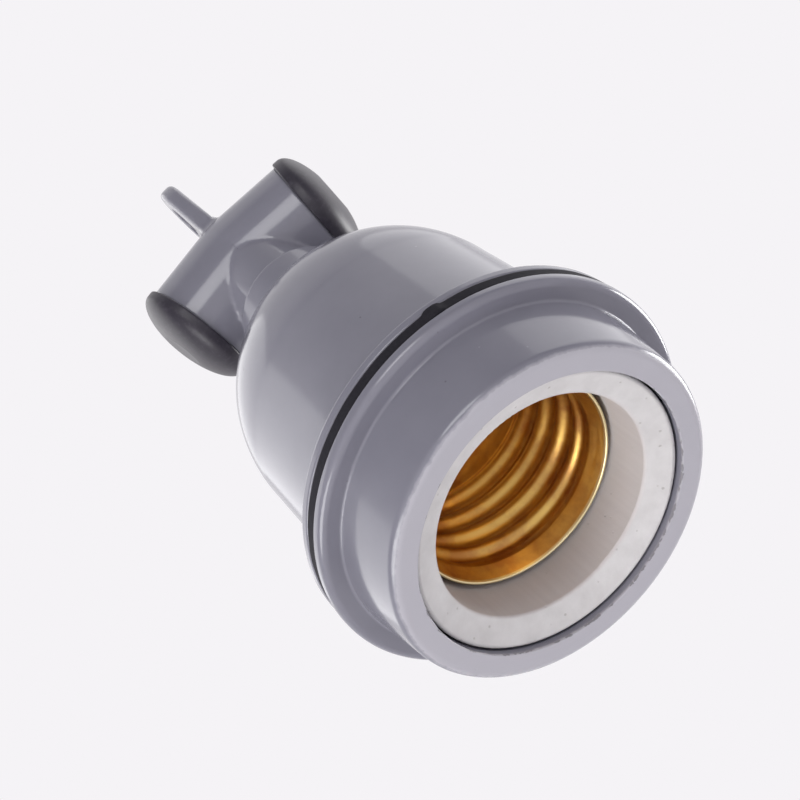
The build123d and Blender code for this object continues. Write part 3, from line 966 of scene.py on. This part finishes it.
# The bore wall is painted a darker warm grey than the face, with fine streaks along the axis.
streaked_bore_tone = put(tree, "ShaderNodeMix", {
    "Factor": drag.outputs["Fac"], "A": linear("C3BDBC"), "B": linear("D0CBCA"),
}, data_type="RGBA")
from_axis = axis_distance(tree, place)
in_bore = put(tree, "ShaderNodeMapRange", {
    "Value": from_axis, "From Min": face_inner * MM, "From Max": bore_outer * MM,
})
edge_noise = put(tree, "ShaderNodeTexNoise", {
    "Vector": place, "Scale": waves(0.9), "Detail": 4.0, "Roughness": 0.7,
})
edge_place = put(tree, "ShaderNodeMath", {
    0: edge_noise.outputs["Fac"], 1: edge_shade_reach * MM, 2: from_axis,
}, operation="MULTIPLY_ADD")
# Painted shade: the face darkens towards its outer edge, next to the ring's lip.
painted_edge_shade = put(tree, "ShaderNodeMapRange", {
    "Value": edge_place.outputs[0],
    "From Min": (edge_radius + 0.6) * MM,
    "From Max": (edge_radius + 0.95) * MM,
    "To Max": 0.55,
})
edge_shaded = put(tree, "ShaderNodeMix", {
    "Factor": painted_edge_shade.outputs["Result"], "A": pitted.outputs["Result"], "B": linear("7E7A79"),
}, data_type="RGBA")
body_tone = put(tree, "ShaderNodeMix", {
    "Factor": in_bore.outputs["Result"], "A": edge_shaded.outputs["Result"], "B": streaked_bore_tone.outputs["Result"],
}, data_type="RGBA")
grain_relief = put(tree, "ShaderNodeBump", {
    "Height": grain.outputs["Fac"], "Strength": 0.4, "Distance": 0.06 * MM,
})
pit_relief = put(tree, "ShaderNodeBump", {
    "Height": pit_mask, "Strength": 0.6, "Distance": 0.08 * MM, "Normal": grain_relief.outputs["Normal"],
}, invert=True)
steatite_shader = put(tree, "ShaderNodeBsdfPrincipled", {
    "Base Color": body_tone.outputs["Result"],
    "Roughness": 0.62,
    "Normal": pit_relief.outputs["Normal"],
    "IOR": 1.55,
})
close_finish(tree, steatite_shader)
wear(steatite, nodes["ceramic_body"])

# %% [markdown]
# ## Brass and bronze
# Rolled sheet brass comes bright from the rolls, with fine lines round the shell, and then tarnishes from
# gold to an orange brown in patches. Turned and milled brass is yellower and cleaner. The spring strip is
# bronze, which is redder. All three are metals, so the colour sits in the reflection, and one function
# makes them from their two tones, their gloss and the direction of their tool marks. A painted highlight,
# a pale gold band on the shell's lip, draws the pale gold line round the mouth.

# %% Yellow metals
patch_start = 0.68
patch_full = 0.9
highlight_band_width = 0.3
highlight_fade = 0.15
no_highlight_height = -1000  # far below the holder


def yellow_metal(name, clean, tarnished, gloss, marks, share, highlight_height=no_highlight_height):
    """Tarnishing metal, with a painted highlight below a height in mm.

    gloss is its lowest and highest roughness, marks stretches the tool marks along each axis, and
    share is how much is tarnished.
    """
    material, tree, place = start_finish(name)
    patch = put(tree, "ShaderNodeTexNoise", {
        "Vector": place, "Scale": waves(5), "Detail": 4.0, "Roughness": 0.6,
    })
    amount = put(tree, "ShaderNodeMapRange", {
        "Value": patch.outputs["Fac"], "From Min": patch_start - share, "From Max": patch_full - share,
    })
    tone = put(tree, "ShaderNodeMix", {
        "Factor": amount.outputs["Result"], "A": linear(clean), "B": linear(tarnished),
    }, data_type="RGBA")
    axes = put(tree, "ShaderNodeSeparateXYZ", {"Vector": place})
    # Painted highlight: below this height the metal is painted a pale gold, F7E8B8.
    painted_light = put(tree, "ShaderNodeMapRange", {
        "Value": axes.outputs["Z"],
        "From Min": (highlight_height + highlight_fade) * MM,
        "From Max": highlight_height * MM,
    })
    edge_tone = put(tree, "ShaderNodeMix", {
        "Factor": painted_light.outputs["Result"], "A": tone.outputs["Result"], "B": linear("F7E8B8"),
    }, data_type="RGBA")
    line_place = put(tree, "ShaderNodeVectorMath", {0: place, 1: marks}, operation="MULTIPLY")
    lines = put(tree, "ShaderNodeTexNoise", {
        "Vector": line_place.outputs[0], "Scale": waves(0.5), "Detail": 3.0,
    })
    roughness = put(tree, "ShaderNodeMapRange", {
        "Value": lines.outputs["Fac"], "From Min": 0.3, "From Max": 0.7,
        "To Min": gloss[0], "To Max": gloss[1],
    })
    relief = put(tree, "ShaderNodeBump", {
        "Height": lines.outputs["Fac"], "Strength": 0.25, "Distance": 0.02 * MM,
    })
    shader = put(tree, "ShaderNodeBsdfPrincipled", {
        "Base Color": edge_tone.outputs["Result"],
        "Metallic": 1.0,
        "Roughness": roughness.outputs["Result"],
        "Normal": relief.outputs["Normal"],
    })
    close_finish(tree, shader)
    return material


# The shell's lip carries the painted highlight.
rolled_brass = yellow_metal(
    "rolled_sheet_brass", "EEC470", "CA9659", (0.28, 0.4), (0.15, 0.15, 1), 0.28,
    highlight_height=shell_low.z + highlight_band_width,
)
turned_brass = yellow_metal("turned_brass", "E3C16C", "B98C48", (0.2, 0.36), (1, 1, 1), 0.12)
spring_bronze = yellow_metal("spring_bronze", "D9A066", "A36A3C", (0.2, 0.34), (1, 0.1, 1), 0.15)
wear(rolled_brass, rolled_shell)
wear(turned_brass, *(nodes[name] for name in (
    "shell_rivets", "neutral_rivet", "live_rivet", "contact_tip", "live_terminal", "neutral_terminal",
)))
wear(spring_bronze, tongue)

# %% [markdown]
# ## Plated steel
# The clamp screws, the earth screw and its washer are steel with a thin zinc plating. Fresh zinc is a cool
# pale grey that soon clouds over, so the gloss changes in soft patches of a few millimetres.

# %% Plated steel
zinc, tree, place = start_finish("zinc_plated_steel")
haze = put(tree, "ShaderNodeTexNoise", {"Vector": place, "Scale": waves(2.5), "Detail": 4.0})
haze_tone = put(tree, "ShaderNodeMix", {
    "Factor": haze.outputs["Fac"], "A": linear("A9ABAE"), "B": linear("C9CBCE"),
}, data_type="RGBA")
haze_gloss = put(tree, "ShaderNodeMapRange", {
    "Value": haze.outputs["Fac"], "To Min": 0.25, "To Max": 0.5,
})
zinc_shader = put(tree, "ShaderNodeBsdfPrincipled", {
    "Base Color": haze_tone.outputs["Result"],
    "Metallic": 1.0,
    "Roughness": haze_gloss.outputs["Result"],
})
close_finish(tree, zinc_shader)
wear(zinc, *(nodes[name] for name in (
    "live_clamp_screw", "neutral_clamp_screw", "earth_screw", "earth_washer",
)))

# %% [markdown]
# ## Black rubber
# The plugs are moulded rubber. Rubber is never black in the light: its surface is very slightly rough and
# dusty, so it shows a soft grey sheen towards its edges. Dust lies in fine grains.

# %% Black rubber
rubber, tree, place = start_finish("moulded_rubber")
dust = put(tree, "ShaderNodeTexNoise", {
    "Vector": place, "Scale": waves(0.7), "Detail": 5.0, "Roughness": 0.7,
})
bloom = put(tree, "ShaderNodeTexNoise", {"Vector": place, "Scale": waves(6), "Detail": 3.0})
dust_part = put(tree, "ShaderNodeMapRange", {
    "Value": dust.outputs["Fac"], "From Min": 0.5, "From Max": 0.8, "To Max": 0.35,
})
rubber_base = put(tree, "ShaderNodeMix", {
    "Factor": bloom.outputs["Fac"], "A": linear("2B2830"), "B": linear("39353E"),
}, data_type="RGBA")
rubber_tone = put(tree, "ShaderNodeMix", {
    "Factor": dust_part.outputs["Result"], "A": rubber_base.outputs["Result"], "B": linear("5E5963"),
}, data_type="RGBA")
skin = put(tree, "ShaderNodeBump", {
    "Height": dust.outputs["Fac"], "Strength": 0.3, "Distance": 0.04 * MM,
})
rubber_shader = put(tree, "ShaderNodeBsdfPrincipled", {
    "Base Color": rubber_tone.outputs["Result"],
    "Roughness": 0.42,
    "IOR": 1.52,
    "Specular IOR Level": 0.35,
    "Sheen Weight": 0.06,
    "Sheen Roughness": 0.4,
    "Normal": skin.outputs["Normal"],
})
close_finish(tree, rubber_shader)
wear(rubber, left_plug, right_plug)

# %% [markdown]
# The gasket is a softer, duller rubber cut from sheet. Its edge is open and matt, so it swallows the light
# and reads as one black line between ring and bell. Its low specular level stands for those open pores.

# %% Gasket rubber
sheet_rubber, tree, place = start_finish("cut_sheet_rubber")
pores = put(tree, "ShaderNodeTexNoise", {
    "Vector": place, "Scale": waves(0.5), "Detail": 4.0, "Roughness": 0.7,
})
pore_tone = put(tree, "ShaderNodeMix", {
    "Factor": pores.outputs["Fac"], "A": linear("17161B"), "B": linear("2E2C33"),
}, data_type="RGBA")
pore_relief = put(tree, "ShaderNodeBump", {
    "Height": pores.outputs["Fac"], "Strength": 0.4, "Distance": 0.05 * MM,
})
sheet_shader = put(tree, "ShaderNodeBsdfPrincipled", {
    "Base Color": pore_tone.outputs["Result"],
    "Roughness": 0.7,
    "IOR": 1.52,
    "Specular IOR Level": 0.15,
    "Normal": pore_relief.outputs["Normal"],
})
close_finish(tree, sheet_shader)
wear(sheet_rubber, rim_gasket)

# %% [markdown]
# ## Studio
# The holder hangs as in use, well above a plain pale floor, and the camera looks up into its mouth. Behind
# it is only the pale room, which is a colour and not a light: the camera sees it as nearly white, and the
# surfaces get a gentler light from it. The floor shows most of its pale colour in the same way to the
# camera and in reflections, and the rest of it takes light and shadow. Reflections see the pale backdrop
# behind the holder and a greyer room on the photographer's side, as in a real studio. That gives the
# enamel its darker middle.

# %% Floor and room
view_turn = camera.rotation_quaternion
floor_depth = -600
floor_half = 20000
floor_glow = 0.75
floor_mesh = bpy.data.meshes.new("studio_floor")
floor_corners = [
    Vector((x * floor_half, y * floor_half, floor_depth)) * MM
    for x, y in ((-1, -1), (1, -1), (1, 1), (-1, 1))
]
floor_mesh.from_pydata(floor_corners, [], [(0, 1, 2, 3)])
floor = bpy.data.objects.new("studio_floor", floor_mesh)
bpy.context.scene.collection.objects.link(floor)

paper, tree, place = start_finish("matt_backdrop_paper")
paper_grain = put(tree, "ShaderNodeTexNoise", {"Vector": place, "Scale": waves(60), "Detail": 2.0})
paper_tone = put(tree, "ShaderNodeMix", {
    "Factor": paper_grain.outputs["Fac"], "A": linear("E9E7EA"), "B": linear("EFEDF0"),
}, data_type="RGBA")
paper_shader = put(tree, "ShaderNodeBsdfPrincipled", {
    "Base Color": paper_tone.outputs["Result"], "Roughness": 0.9,
})
paper_glow = put(tree, "ShaderNodeEmission", {"Color": paper_tone.outputs["Result"], "Strength": 1.0})
paper_rays = put(tree, "ShaderNodeLightPath")
paper_seen = put(tree, "ShaderNodeMath", {
    0: paper_rays.outputs["Is Camera Ray"], 1: paper_rays.outputs["Is Transmission Ray"],
}, operation="MAXIMUM")
paper_shown = put(tree, "ShaderNodeMath", {
    0: paper_seen.outputs[0], 1: paper_rays.outputs["Is Glossy Ray"],
}, operation="MAXIMUM")
paper_part = put(tree, "ShaderNodeMath", {
    0: paper_shown.outputs[0], 1: floor_glow,
}, operation="MULTIPLY")
paper_mix = put(tree, "ShaderNodeMixShader", {
    0: paper_part.outputs[0], 1: paper_shader.outputs["BSDF"], 2: paper_glow.outputs["Emission"],
})
put(tree, "ShaderNodeOutputMaterial", {"Surface": paper_mix.outputs["Shader"]})
wear(paper, floor)

room_light = 0.46
room_front = view_turn @ Vector((0, 0, 1))
backdrop_edge = -0.35
front_edge = -0.05
room = bpy.data.worlds.new("pale_room")
bpy.context.scene.world = room
room.use_nodes = True
tree = room.node_tree
tree.nodes.clear()
rays = put(tree, "ShaderNodeLightPath")
seen = put(tree, "ShaderNodeMath", {
    0: rays.outputs["Is Camera Ray"], 1: rays.outputs["Is Transmission Ray"],
}, operation="MAXIMUM")
direction = put(tree, "ShaderNodeTexCoord").outputs["Generated"]
frontness = put(tree, "ShaderNodeVectorMath", {
    0: direction, 1: tuple(room_front),
}, operation="DOT_PRODUCT")
front_part = put(tree, "ShaderNodeMapRange", {
    "Value": frontness.outputs["Value"], "From Min": backdrop_edge, "From Max": front_edge,
})
mirrored = put(tree, "ShaderNodeMix", {
    "Factor": front_part.outputs["Result"], "A": linear("F5F3F6"), "B": linear("7C7A86"),
}, data_type="RGBA")
dim = put(tree, "ShaderNodeBackground", {"Color": linear("F2F1F5"), "Strength": room_light})
mirror = put(tree, "ShaderNodeBackground", {"Color": mirrored.outputs["Result"], "Strength": 1.0})
pale = put(tree, "ShaderNodeBackground", {"Color": linear("F5F3F6"), "Strength": 1.0})
room_or_mirror = put(tree, "ShaderNodeMixShader", {
    0: rays.outputs["Is Glossy Ray"], 1: dim.outputs[0], 2: mirror.outputs[0],
})
room_mix = put(tree, "ShaderNodeMixShader", {
    0: seen.outputs[0], 1: room_or_mirror.outputs[0], 2: pale.outputs[0],
})
put(tree, "ShaderNodeOutputWorld", {"Surface": room_mix.outputs[0]})
print("the room gives", room_light, "of white")

# %% [markdown]
# ## Lamps
# Six round soft lights stand 900 mm from the holder. Their directions are written as the photographer sees
# them: to the right, up and back towards the camera. A glossy surface shows a lamp where its normal points
# halfway between lamp and camera, so each light is placed for the highlight it has to draw. The mouth
# light shines into the mouth, on the ceramic and the brass. The table light stands behind the holder on
# the left and brightens the left side of dome and skirt, the low light does so for the nose, and the top
# light for the upper side of the bell. The rear light edges the flange on its far side, and the weak
# front light fills the middle.

# %% Soft lights
lamp_distance = 900


def soft_light(name, right, up, back, across, watts):
    """Round soft light in a direction of the camera's view, aimed at the holder. Its width is in mm."""
    lamp = bpy.data.lights.new(name, "AREA")
    lamp.shape = "DISK"
    lamp.size = across * MM
    lamp.energy = watts
    holder = bpy.data.objects.new(name, lamp)
    bpy.context.scene.collection.objects.link(holder)
    direction = (view_turn @ Vector((right, up, back))).normalized()
    holder.location = camera_target + direction * lamp_distance * MM
    holder.rotation_mode = "QUATERNION"
    holder.rotation_quaternion = (-direction).to_track_quat("-Z", "Y")
    holder.visible_camera = False
    print(name, "at", [round(x, 2) for x in holder.location])


soft_light("mouth_light", 0.68, -0.54, 0.36, 700, 10.0)
soft_light("table_light", -0.75, -0.15, -0.65, 1000, 2.8)
soft_light("top_light", 0.3, 0.8, -0.55, 1000, 1.8)
soft_light("rear_light", 0.86, 0.2, -0.5, 500, 6.0)
soft_light("front_light", -0.367, 0.496, 0.79, 480, 2.3)
soft_light("low_light", -0.4, -0.75, 0.5, 600, 5.0)

# %% [markdown]
# ## The view
# The dressed holder must be as large as the imported model. The last step sets the standard view
# transform.

# %% Standard view transform
bpy.context.scene.view_settings.view_transform = "Standard"
